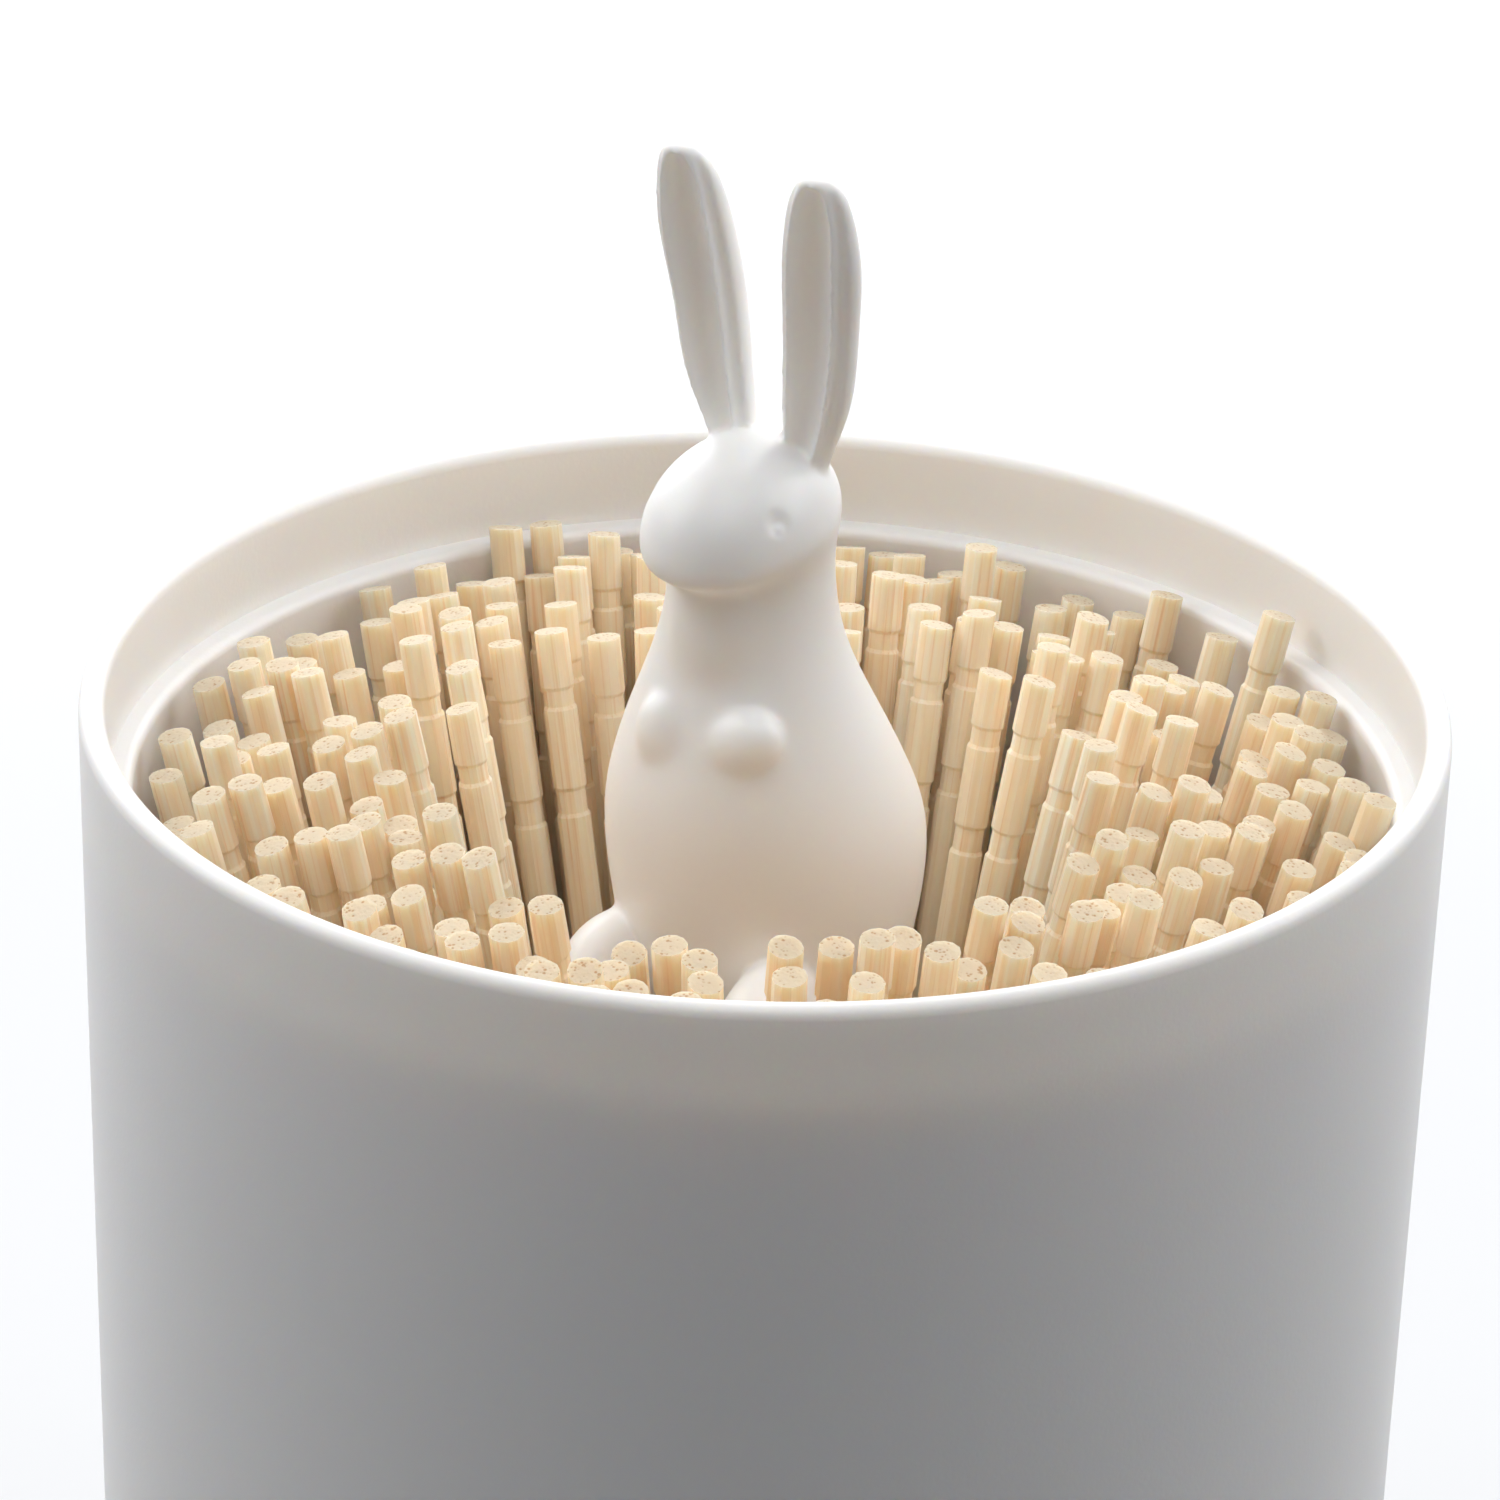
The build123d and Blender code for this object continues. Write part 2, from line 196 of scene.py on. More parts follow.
@dataclass(frozen=True)
class MouldedPlastic:
    """Injection-moulded ABS with a fine spark-eroded skin.

    To the eye it is an even, soft white with a broad, weak highlight and the faintest grit.
    """

    name: str
    colour: str
    shade: str
    roughness: float
    # The grit is drawn several times coarser than a real spark-eroded skin, so that it shows
    grit_mm: float
    grit_height_mm: float
    grit_span: tuple[float, float] = (0.25, 0.75)
    grit_detail: float = 2.0
    sheen_spread: float = 0.05
    cloud_mm: float = 14.0
    cloud_detail: float = 3.0
    ior: float = 1.5
    glow: float = 0.0
    glow_reach_mm: float = 1.5
    glow_tint: tuple[float, float, float] = (1.0, 0.8, 0.6)

    def material(self) -> bpy.types.Material:
        """Build the node material of this plastic."""
        material, tree = new_material(self.name)
        place = add_node(tree, "ShaderNodeTexCoord").outputs["Object"]
        cloud = add_node(tree, "ShaderNodeTexNoise", {
            "Vector": place, "Scale": 1 / (self.cloud_mm * MM), "Detail": self.cloud_detail,
        })
        grit = add_node(tree, "ShaderNodeTexNoise", {
            "Vector": place, "Scale": 1 / (self.grit_mm * MM), "Detail": self.grit_detail,
        })
        colour = add_node(tree, "ShaderNodeMix", {
            0: cloud.outputs["Fac"], 6: linear(self.colour), 7: linear(self.shade),
        }, data_type="RGBA")
        sheen = add_node(tree, "ShaderNodeMapRange", {
            "Value": grit.outputs["Fac"],
            "From Min": self.grit_span[0],
            "From Max": self.grit_span[1],
            "To Min": self.roughness - self.sheen_spread,
            "To Max": self.roughness + self.sheen_spread,
        })
        relief = add_node(tree, "ShaderNodeBump", {
            "Height": grit.outputs["Fac"], "Strength": 1.0, "Distance": self.grit_height_mm * MM,
        })
        skin = add_node(tree, "ShaderNodeBsdfPrincipled", {
            "Base Color": colour.outputs[2],
            "Roughness": sheen.outputs["Result"],
            "IOR": self.ior,
            "Subsurface Weight": self.glow,
            "Subsurface Radius": self.glow_tint,
            "Subsurface Scale": self.glow_reach_mm * MM,
            "Normal": relief.outputs["Normal"],
        })
        add_node(tree, "ShaderNodeOutputMaterial", {"Surface": skin.outputs["BSDF"]})
        return material


@dataclass(frozen=True)
class TurnedSteel:
    """Bright turned steel of the screws and the spindle.

    To the eye it is a grey metal with fine rings from the lathe.
    """

    name: str = "turned_steel"
    colour: str = "#C9CACC"
    roughness: float = 0.3
    ring_mm: float = 0.35
    ring_height_mm: float = 0.004
    ring_wobble: float = 1.5
    ring_detail: float = 2.0
    sheen_drop: float = 0.06
    sheen_rise: float = 0.08
    # At scale one, one wave of Blender's wave texture is 2 pi over this number long
    wave_gain: float = 20.0

    def material(self) -> bpy.types.Material:
        """Build the node material of the steel."""
        material, tree = new_material(self.name)
        place = add_node(tree, "ShaderNodeTexCoord").outputs["Object"]
        rings = add_node(tree, "ShaderNodeTexWave", {
            "Vector": place,
            "Scale": math.tau / (self.wave_gain * self.ring_mm * MM),
            "Distortion": self.ring_wobble,
            "Detail": self.ring_detail,
        }, wave_type="RINGS", rings_direction="Z")
        shine = add_node(tree, "ShaderNodeMapRange", {
            "Value": rings.outputs["Fac"],
            "To Min": self.roughness - self.sheen_drop,
            "To Max": self.roughness + self.sheen_rise,
        })
        relief = add_node(tree, "ShaderNodeBump", {
            "Height": rings.outputs["Fac"], "Strength": 1.0, "Distance": self.ring_height_mm * MM,
        })
        skin = add_node(tree, "ShaderNodeBsdfPrincipled", {
            "Base Color": linear(self.colour),
            "Metallic": 1.0,
            "Roughness": shine.outputs["Result"],
            "Normal": relief.outputs["Normal"],
        })
        add_node(tree, "ShaderNodeOutputMaterial", {"Surface": skin.outputs["BSDF"]})
        return material


@dataclass(frozen=True)
class BambooSide:
    """Raw bamboo along the stick, turned and unpolished.

    To the eye it is a pale cream with long straw-coloured fibres and no gloss.
    """

    name: str = "bamboo_side"
    pale: str = "#FFF3E0"
    straw: str = "#FDE3C2"
    fibre: str = "#ECC190"
    ripe: str = "#FEE9CE"
    roughness: float = 0.62
    ior: float = 1.45
    fibre_mm: float = 0.22
    fibre_length_mm: float = 18.0
    fibre_height_mm: float = 0.03
    fibre_detail: float = 3.0
    fibre_span: tuple[float, float] = (0.56, 0.76)
    fibre_strength: float = 0.7
    streak_mm: float = 0.55
    streak_length_mm: float = 36.0
    streak_detail: float = 2.0
    streak_span: tuple[float, float] = (0.38, 0.62)
    glow: float = 0.75
    glow_reach_mm: float = 1.4
    glow_tint: tuple[float, float, float] = (1.0, 0.75, 0.5)

    def material(self) -> bpy.types.Material:
        """Build the node material of the sticks' sides."""
        material, tree = new_material(self.name)
        grain = add_node(tree, "ShaderNodeAttribute", attribute_name=Stick.GRAIN).outputs["Vector"]
        tone = add_node(tree, "ShaderNodeAttribute", attribute_name=Stick.TONE).outputs["Fac"]
        fibre_size = (1 / self.fibre_mm, 1 / self.fibre_mm, 1 / self.fibre_length_mm)
        streak_size = (1 / self.streak_mm, 1 / self.streak_mm, 1 / self.streak_length_mm)
        fine_place = add_node(tree, "ShaderNodeVectorMath", {0: grain, 1: fibre_size}, operation="MULTIPLY")
        wide_place = add_node(tree, "ShaderNodeVectorMath", {0: grain, 1: streak_size}, operation="MULTIPLY")
        fibres = add_node(tree, "ShaderNodeTexNoise", {
            "Vector": fine_place.outputs["Vector"], "Scale": 1.0, "Detail": self.fibre_detail,
        })
        streaks = add_node(tree, "ShaderNodeTexNoise", {
            "Vector": wide_place.outputs["Vector"], "Scale": 1.0, "Detail": self.streak_detail,
        })
        broad = add_node(tree, "ShaderNodeMapRange", {
            "Value": streaks.outputs["Fac"],
            "From Min": self.streak_span[0],
            "From Max": self.streak_span[1],
        })
        dark = add_node(tree, "ShaderNodeMapRange", {
            "Value": fibres.outputs["Fac"],
            "From Min": self.fibre_span[0],
            "From Max": self.fibre_span[1],
            "To Max": self.fibre_strength,
        })
        own = add_node(tree, "ShaderNodeMix", {
            0: tone, 6: linear(self.pale), 7: linear(self.ripe),
        }, data_type="RGBA")
        base = add_node(tree, "ShaderNodeMix", {
            0: broad.outputs["Result"], 6: own.outputs[2], 7: linear(self.straw),
        }, data_type="RGBA")
        colour = add_node(tree, "ShaderNodeMix", {
            0: dark.outputs["Result"], 6: base.outputs[2], 7: linear(self.fibre),
        }, data_type="RGBA")
        relief = add_node(tree, "ShaderNodeBump", {
            "Height": fibres.outputs["Fac"], "Strength": 1.0, "Distance": self.fibre_height_mm * MM,
        })
        skin = add_node(tree, "ShaderNodeBsdfPrincipled", {
            "Base Color": colour.outputs[2],
            "Roughness": self.roughness,
            "IOR": self.ior,
            "Subsurface Weight": self.glow,
            "Subsurface Radius": self.glow_tint,
            "Subsurface Scale": self.glow_reach_mm * MM,
            "Normal": relief.outputs["Normal"],
        })
        add_node(tree, "ShaderNodeOutputMaterial", {"Surface": skin.outputs["BSDF"]})
        return material


@dataclass(frozen=True)
class BambooEnd:
    """Sawn end grain of the bamboo.

    To the eye it is dry and chalky, with tan dots where the fibre bundles were cut.
    """

    name: str = "bamboo_end"
    pale: str = "#D6C7AD"
    dot: str = "#B48F66"
    roughness: float = 0.75
    ior: float = 1.45
    dot_mm: float = 0.3
    dot_height_mm: float = 0.05
    dot_scatter: float = 0.9
    dot_span: tuple[float, float] = (0.6, 0.85)
    dot_strength: float = 0.9
    clouds_per_dot: float = 0.7
    cloud_detail: float = 2.0
    glow: float = 0.75
    glow_reach_mm: float = 1.4
    glow_tint: tuple[float, float, float] = (1.0, 0.75, 0.5)

    def material(self) -> bpy.types.Material:
        """Build the node material of the sticks' ends."""
        material, tree = new_material(self.name)
        grain = add_node(tree, "ShaderNodeAttribute", attribute_name=Stick.GRAIN).outputs["Vector"]
        flat = add_node(tree, "ShaderNodeVectorMath", {0: grain, 1: (1.0, 1.0, 0.0)}, operation="MULTIPLY")
        dots = add_node(tree, "ShaderNodeTexVoronoi", {
            "Vector": flat.outputs["Vector"], "Scale": 1 / self.dot_mm, "Randomness": self.dot_scatter,
        })
        cloud = add_node(tree, "ShaderNodeTexNoise", {
            "Vector": flat.outputs["Vector"],
            "Scale": self.clouds_per_dot / self.dot_mm,
            "Detail": self.cloud_detail,
        })
        size = add_node(tree, "ShaderNodeMath", {
            0: dots.outputs["Distance"], 1: cloud.outputs["Fac"],
        }, operation="ADD")
        mark = add_node(tree, "ShaderNodeMapRange", {
            "Value": size.outputs["Value"],
            "From Min": self.dot_span[0],
            "From Max": self.dot_span[1],
            "To Min": self.dot_strength,
            "To Max": 0.0,
        })
        colour = add_node(tree, "ShaderNodeMix", {
            0: mark.outputs["Result"], 6: linear(self.pale), 7: linear(self.dot),
        }, data_type="RGBA")
        relief = add_node(tree, "ShaderNodeBump", {
            "Height": size.outputs["Value"], "Strength": 1.0, "Distance": self.dot_height_mm * MM,
        })
        skin = add_node(tree, "ShaderNodeBsdfPrincipled", {
            "Base Color": colour.outputs[2],
            "Roughness": self.roughness,
            "IOR": self.ior,
            "Subsurface Weight": self.glow,
            "Subsurface Radius": self.glow_tint,
            "Subsurface Scale": self.glow_reach_mm * MM,
            "Normal": relief.outputs["Normal"],
        })
        add_node(tree, "ShaderNodeOutputMaterial", {"Surface": skin.outputs["BSDF"]})
        return material


@dataclass
class Cup:
    """Round cup with a rolled lip, a seat for a lid and a recessed base, in millimetres."""

    node: str = "cup_body"
    rim_radius: float = 38.5
    height: float = 76.0
    draft_deg: float = 1.04
    lip_thickness: float = 1.5
    lip_round: float = 0.73
    seat_depth: float = 5.4
    seat_width: float = 1.4
    seat_round: float = 0.6
    floor_top: float = 3.8
    floor_round: float = 3.0
    base_round: float = 2.0
    recess_depth: float = 1.6
    ring_width: float = 6.0
    hole_radius: float = 1.3
    sides: int = 256
    round_steps: int = 8
    smooth_angle_deg: float = 40.0

    def build(self, plastic: MouldedPlastic) -> bpy.types.Object:
        """Model the cup from a cylinder and dress it.

        Args:
            plastic: Finish of the cup.

        Returns:
            The cup, riding on its body in place of the CAD node.
        """
        slope = math.tan(math.radians(self.draft_deg))
        foot = self.rim_radius - self.height * slope
        lip_inner = self.rim_radius - self.lip_thickness
        seat_height = self.height - self.seat_depth
        seat_outer = lip_inner - self.seat_depth * slope
        seat_inner = seat_outer - self.seat_width
        floor_radius = seat_inner - (seat_height - self.floor_top) * slope
        recess_radius = foot - self.ring_width
        bpy.ops.object.select_all(action="DESELECT")
        bpy.ops.mesh.primitive_cylinder_add(
            vertices=self.sides,
            radius=foot * MM,
            depth=self.height * MM,
            location=(0, 0, self.height / 2 * MM),
        )
        cup = bpy.context.object
        cup.name = cup.data.name = "cup"
        bpy.ops.object.transform_apply(location=True, rotation=False, scale=False)
        bpy.ops.object.mode_set(mode="EDIT")
        self.pick_cap(cup, self.height)
        self.grow_to(self.rim_radius / foot, 0.0)
        inside = (
            (lip_inner, self.height),
            (seat_outer, seat_height),
            (seat_inner, seat_height),
            (floor_radius, self.floor_top),
            (self.hole_radius, self.floor_top),
        )
        under = (
            (recess_radius, 0.0),
            (recess_radius, self.recess_depth),
            (self.hole_radius, self.recess_depth),
        )
        self.sink(self.rim_radius, self.height, inside)
        bpy.ops.mesh.delete(type="ONLY_FACE")
        self.pick_cap(cup, 0.0)
        self.sink(foot, 0.0, under)
        bpy.ops.mesh.delete(type="ONLY_FACE")
        self.pick_ring(cup, self.hole_radius, self.floor_top)
        self.pick_ring(cup, self.hole_radius, self.recess_depth, keep=True)
        bpy.ops.mesh.bridge_edge_loops()
        rounds = (
            (self.rim_radius, self.height, self.lip_round),
            (lip_inner, self.height, self.lip_round),
            (seat_inner, seat_height, self.seat_round),
            (floor_radius, self.floor_top, self.floor_round),
            (foot, 0.0, self.base_round),
        )
        for radius, height, reach in rounds:
            self.pick_ring(cup, radius, height)
            bpy.ops.mesh.bevel(offset=reach * MM, segments=self.round_steps, profile=ARC)
        bpy.ops.mesh.select_all(action="SELECT")
        bpy.ops.mesh.normals_make_consistent(inside=False)
        bpy.ops.object.mode_set(mode="OBJECT")
        bpy.ops.object.shade_smooth_by_angle(angle=math.radians(self.smooth_angle_deg))
        apply_modifier(cup, "WEIGHTED_NORMAL", keep_sharp=True)
        dress(cup, plastic.material())
        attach(cup, Body.CUP.value)
        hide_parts(self.node)
        return cup

    def grow_to(self, factor: float, lift: float) -> None:
        """Scale the selection about the middle axis and lift it.

        Args:
            factor: Growth of the radius.
            lift: Rise in millimetres.
        """
        bpy.ops.transform.resize(value=(factor, factor, 1), center_override=(0, 0, 0))
        bpy.ops.transform.translate(value=(0, 0, lift * MM))

    def sink(self, radius: float, height: float, steps: Sequence[tuple[float, float]]) -> None:
        """Extrude the selected cap through a row of rings.

        Args:
            radius: Radius that the cap has now.
            height: Height that the cap has now.
            steps: Radius and height of each ring to come.
        """
        for next_radius, next_height in steps:
            bpy.ops.mesh.extrude_region_move()
            self.grow_to(next_radius / radius, next_height - height)
            radius, height = next_radius, next_height

    def pick_cap(self, cup: bpy.types.Object, height: float) -> None:
        """Select the many-sided face that closes the cup at a height."""
        bpy.ops.mesh.select_mode(type="FACE")
        bpy.ops.mesh.select_all(action="DESELECT")
        work = bmesh.from_edit_mesh(cup.data)
        for face in work.faces:
            closes = len(face.verts) == self.sides
            if closes and abs(face.calc_center_median().z - height * MM) < TOUCH:
                face.select_set(True)
        bmesh.update_edit_mesh(cup.data)

    def pick_ring(self, cup: bpy.types.Object, radius: float, height: float, keep: bool = False) -> None:
        """Select the ring of edges at a radius and height.

        Args:
            cup: The cup in edit mode.
            radius: Radius of the ring.
            height: Height of the ring.
            keep: Whether what is selected stays so.
        """
        bpy.ops.mesh.select_mode(type="EDGE")
        if not keep:
            bpy.ops.mesh.select_all(action="DESELECT")
        work = bmesh.from_edit_mesh(cup.data)
        for edge in work.edges:
            ends = [vert.co for vert in edge.verts]
            level = all(abs(co.z - height * MM) < NEAR for co in ends)
            if level and all(abs(math.hypot(co.x, co.y) - radius * MM) < NEAR for co in ends):
                edge.select_set(True)
        bmesh.update_edit_mesh(cup.data)


@dataclass(frozen=True)
class SoftZone:
    """Ball in which the rabbit's skin is smoothed, in millimetres above its base."""

    middle: tuple[float, float, float]
    reach: float
    rounds: int


@dataclass(frozen=True)
class Dent:
    """Round dent in the rabbit's skin, or a bump where the depth is negative."""

    middle: tuple[float, float, float]
    reach: float
    depth: float


Spot = TypeVar("Spot", SoftZone, Dent)


def both_sides(spot: Spot) -> tuple[Spot, Spot]:
    """Give a zone or a dent, and then its mirror image on the rabbit's other side."""
    across, along, up = spot.middle
    return spot, replace(spot, middle=(-across, along, up))


@dataclass
class Rabbit:
    """Rabbit in one moulding, softened where its forms meet, with eyes pressed in."""

    node: str = "rabbit_figure"
    voxel_mm: float = 0.15
    soften_rounds: int = 9
    kept_share: float = 0.45
    zones: Sequence[SoftZone] = (
        SoftZone((0.0, -6.0, 27.2), 6.2, 780),
        *both_sides(SoftZone((4.2, -4.8, 28.6), 4.4, 610)),
        *both_sides(SoftZone((4.8, -0.4, 29.6), 3.8, 350)),
        SoftZone((0.0, 3.4, 30.0), 5.5, 700),
        *both_sides(SoftZone((3.8, 2.0, 29.9), 4.4, 500)),
        SoftZone((2.8, -7.6, 19.9), 4.8, 120),
        SoftZone((-2.0, -7.6, 19.2), 4.8, 120),
        *both_sides(SoftZone((5.4, -6.0, 6.5), 5.0, 60)),
        *both_sides(SoftZone((2.9, -0.5, 35.5), 3.4, 35)),
    )
    dents: Sequence[Dent] = (
        *both_sides(Dent((4.07, -5.76, 33.02), 1.0, 0.2)),
        *both_sides(Dent((4.2, -5.77, 32.79), 0.5, -0.12)),
    )

    def build(self, plastic: MouldedPlastic) -> bpy.types.Object:
        """Model the rabbit and dress it.

        Args:
            plastic: Finish of the rabbit.

        Returns:
            The rabbit, riding on the lift in place of the CAD node.
        """
        base = Vector((0, 0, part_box(self.node)[0].z))
        rabbit = bpy.data.objects.new("rabbit", frame["nodes"][self.node].data.copy())
        rabbit.data.name = "rabbit"
        bpy.context.scene.collection.objects.link(rabbit)
        select_only(rabbit)
        bpy.ops.object.mode_set(mode="EDIT")
        bpy.ops.mesh.select_all(action="SELECT")
        bpy.ops.mesh.remove_doubles(threshold=TOUCH)
        bpy.ops.object.mode_set(mode="OBJECT")
        apply_modifier(rabbit, "REMESH", mode="VOXEL", voxel_size=self.voxel_mm * MM)
        apply_modifier(rabbit, "SMOOTH", factor=SMOOTH_SHARE, iterations=self.soften_rounds)
        for zone in self.zones:
            self.soften(rabbit, base, zone)
        for dent in self.dents:
            self.press(rabbit, base, dent)
        apply_modifier(rabbit, "DECIMATE", ratio=self.kept_share)
        bpy.ops.object.shade_smooth()
        dress(rabbit, plastic.material())
        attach(rabbit, Body.LIFT.value)
        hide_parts(self.node)
        return rabbit

    def nearness(self, at: Vector, middle: Vector, reach: float) -> float:
        """Tell how near a point is to a middle, from nought at the reach to one, with soft ends."""
        share = max(0.0, 1 - (at - middle).length / reach)
        return share * share * (3 - 2 * share)

    def soften(self, rabbit: bpy.types.Object, base: Vector, zone: SoftZone) -> None:
        """Smooth the skin in one zone, fading out towards its edge.

        Args:
            rabbit: The rabbit's mesh object.
            base: Middle of the rabbit's base.
            zone: Where and how much to smooth.
        """
        middle = base + Vector(zone.middle) * MM
        group = rabbit.vertex_groups.new(name="soft")
        for vert in rabbit.data.vertices:
            weight = self.nearness(vert.co, middle, zone.reach * MM)
            if weight:
                group.add([vert.index], weight, "REPLACE")
        apply_modifier(
            rabbit, "SMOOTH", factor=SMOOTH_SHARE, iterations=zone.rounds, vertex_group=group.name,
        )
        rabbit.vertex_groups.clear()

    def press(self, rabbit: bpy.types.Object, base: Vector, dent: Dent) -> None:
        """Press one dent into the skin, along its normals.

        Args:
            rabbit: The rabbit's mesh object.
            base: Middle of the rabbit's base.
            dent: Where and how deep to press.
        """
        middle = base + Vector(dent.middle) * MM
        moves = []
        for vert in rabbit.data.vertices:
            weight = self.nearness(vert.co, middle, dent.reach * MM)
            if weight:
                moves.append((vert, vert.normal * weight * dent.depth * MM))
        for vert, move in moves:
            vert.co -= move


@dataclass
class Stick:
    """One toothpick, point down, with two necks turned under its head, in millimetres."""

    GRAIN = "grain"
    TONE = "tone"
    length: float = 65.0
    radius: float = 1.0
    point_length: float = 14.0
    point_radius: float = 0.25
    neck_radius: float = 0.87
    neck_edge: float = 0.22
    head_length: float = 3.3
    neck_length: float = 1.4
    bead_length: float = 4.7
    low_neck_length: float = 1.8
    sides: int = 12
    smooth_angle_deg: float = 25.0

    def profile(self) -> list[tuple[float, float]]:
        """List the height and radius of each ring from the point to the head."""
        neck_top = self.length - self.head_length
        neck_foot = neck_top - self.neck_length
        low_top = neck_foot - self.bead_length
        low_foot = low_top - self.low_neck_length
        return [
            (0.0, self.point_radius),
            (self.point_length, self.radius),
            (low_foot, self.radius),
            (low_foot + self.neck_edge, self.neck_radius),
            (low_top - self.neck_edge, self.neck_radius),
            (low_top, self.radius),
            (neck_foot, self.radius),
            (neck_foot + self.neck_edge, self.neck_radius),
            (neck_top - self.neck_edge, self.neck_radius),
            (neck_top, self.radius),
            (self.length, self.radius),
        ]

    def build(self, side: bpy.types.Material, end: bpy.types.Material) -> bpy.types.Object:
        """Model the stick from a disc that is drawn up through its rings.

        Args:
            side: Material along the stick.
            end: Material of the sawn ends.

        Returns:
            The pattern stick, standing on the origin.
        """
        rings = self.profile()
        bpy.ops.object.select_all(action="DESELECT")
        bpy.ops.mesh.primitive_circle_add(
            vertices=self.sides, radius=rings[0][1] * MM, fill_type="NGON", location=(0, 0, 0),
        )
        stick = bpy.context.object
        bpy.ops.object.mode_set(mode="EDIT")
        bpy.ops.mesh.select_mode(type="FACE")
        bpy.ops.mesh.select_all(action="SELECT")
        for (low, thin), (high, wide) in zip(rings, rings[1:]):
            bpy.ops.mesh.extrude_region_move()
            bpy.ops.transform.resize(value=(wide / thin, wide / thin, 1), center_override=(0, 0, 0))
            bpy.ops.transform.translate(value=(0, 0, (high - low) * MM))
        bpy.ops.mesh.select_all(action="SELECT")
        bpy.ops.mesh.normals_make_consistent(inside=False)
        bpy.ops.object.mode_set(mode="OBJECT")
        bpy.ops.object.shade_smooth_by_angle(angle=math.radians(self.smooth_angle_deg))
        stick.data.materials.append(side)
        stick.data.materials.append(end)
        for face in stick.data.polygons:
            face.material_index = int(len(face.vertices) == self.sides)
        return stick


@dataclass
class ToothpickFan:
    """All the toothpicks, each on the axis of its CAD stick, joined sector by sector."""

    nodes: Sequence[str]
    seed: int = 7
    # Most that a cut rises or falls over one millimetre, each way
    cut_tilt: float = 0.1
    cut_wear: float = 0.05
    grain_spread_mm: float = 400.0
    end_depth_mm: float = 0.3
    axis_rounds: int = 3

    def build(self, pattern: bpy.types.Object) -> list[bpy.types.Object]:
        """Copy the pattern stick onto every axis of every sector.

        Args:
            pattern: The modelled stick.

        Returns:
            One piece for each sector.
        """
        chance = random.Random(self.seed)
        pieces = []
        for node in self.nodes:
            copies = [self.plant(pattern, tip, head, chance) for tip, head in self.axes(node)]
            bpy.ops.object.select_all(action="DESELECT")
            for copy in copies:
                copy.select_set(True)
            bpy.context.view_layer.objects.active = copies[0]
            if len(copies) > 1:
                bpy.ops.object.join()
            piece = bpy.context.object
            piece.name = piece.data.name = f"bamboo_{node}"
            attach(piece, frame["nodes"][node]["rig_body"])
            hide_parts(node)
            pieces.append(piece)
        bpy.data.objects.remove(pattern)
        return pieces

    def axes(self, node: str) -> list[tuple[Vector, Vector]]:
        """Find the tip and the head of each stick in a CAD node.

        Args:
            node: Name of the node.

        Returns:
            Middle of the tip and middle of the head of every stick.
        """
        work = bmesh.new()
        work.from_mesh(frame["nodes"][node].data)
        bmesh.ops.remove_doubles(work, verts=work.verts, dist=WELD)
        seen: set[bmesh.types.BMVert] = set()
        found = []
        for start in work.verts:
            if start in seen:
                continue
            seen.add(start)
            stick, queue = [], [start]
            while queue:
                vert = queue.pop()
                stick.append(vert.co.copy())
                for edge in vert.link_edges:
                    other = edge.other_vert(vert)
                    if other not in seen:
                        seen.add(other)
                        queue.append(other)
            found.append(self.ends(stick))
        work.free()
        return found

    def ends(self, points: list[Vector]) -> tuple[Vector, Vector]:
        """Find the middles of the two ends of one stick.

        Args:
            points: Corners of the stick's mesh.

        Returns:
            Middle of the tip and middle of the head.
        """
        low = min(points, key=lambda point: point.z)
        high = max(points, key=lambda point: point.z)
        depth = self.end_depth_mm * MM
        for _ in range(self.axis_rounds):
            along = (high - low).normalized()
            reach = [along.dot(point) for point in points]
            tip = [point for point, at in zip(points, reach) if at < min(reach) + depth]
            head = [point for point, at in zip(points, reach) if at > max(reach) - depth]
            low = sum(tip, Vector()) / len(tip)
            high = sum(head, Vector()) / len(head)
        return low, high

    def plant(
        self, pattern: bpy.types.Object, tip: Vector, head: Vector, chance: random.Random,
    ) -> bpy.types.Object:
        """Copy the pattern stick onto an axis and mark its own grain and tone.

        Args:
            pattern: The modelled stick.
            tip: Middle of the CAD stick's tip.
            head: Middle of the CAD stick's head.
            chance: Source of the random draws.

        Returns:
            The copy with its place in its mesh.
        """
        mesh = pattern.data.copy()
        shift = Vector([chance.uniform(0, self.grain_spread_mm) for _ in "xyz"])
        mesh.attributes.new(Stick.GRAIN, "FLOAT_VECTOR", "POINT")
        mesh.attributes.new(Stick.TONE, "FLOAT", "POINT")
        grain, tone = mesh.attributes[Stick.GRAIN], mesh.attributes[Stick.TONE]
        own_tone = chance.random()
        top = max(vert.co.z for vert in mesh.vertices)
        slant = Vector((chance.uniform(-1, 1), chance.uniform(-1, 1), 0)) * self.cut_tilt
        for vert in mesh.vertices:
            grain.data[vert.index].vector = vert.co / MM + shift
            tone.data[vert.index].value = own_tone
            if vert.co.z > top - TOUCH:
                vert.co.z -= (abs(slant.x) + abs(slant.y)) * MM - slant.dot(vert.co)
                wear = 1 - chance.uniform(0, self.cut_wear)
                vert.co.x *= wear
                vert.co.y *= wear
        axis = (head - tip).normalized()
        turn = axis.to_track_quat("Z", "Y").to_matrix().to_4x4()
        spin = Matrix.Rotation(chance.uniform(0, math.tau), 4, "Z")
        mesh.transform(Matrix.Translation(tip) @ turn @ spin)
        copy = bpy.data.objects.new("stick", mesh)
        bpy.context.scene.collection.objects.link(copy)
        return copy


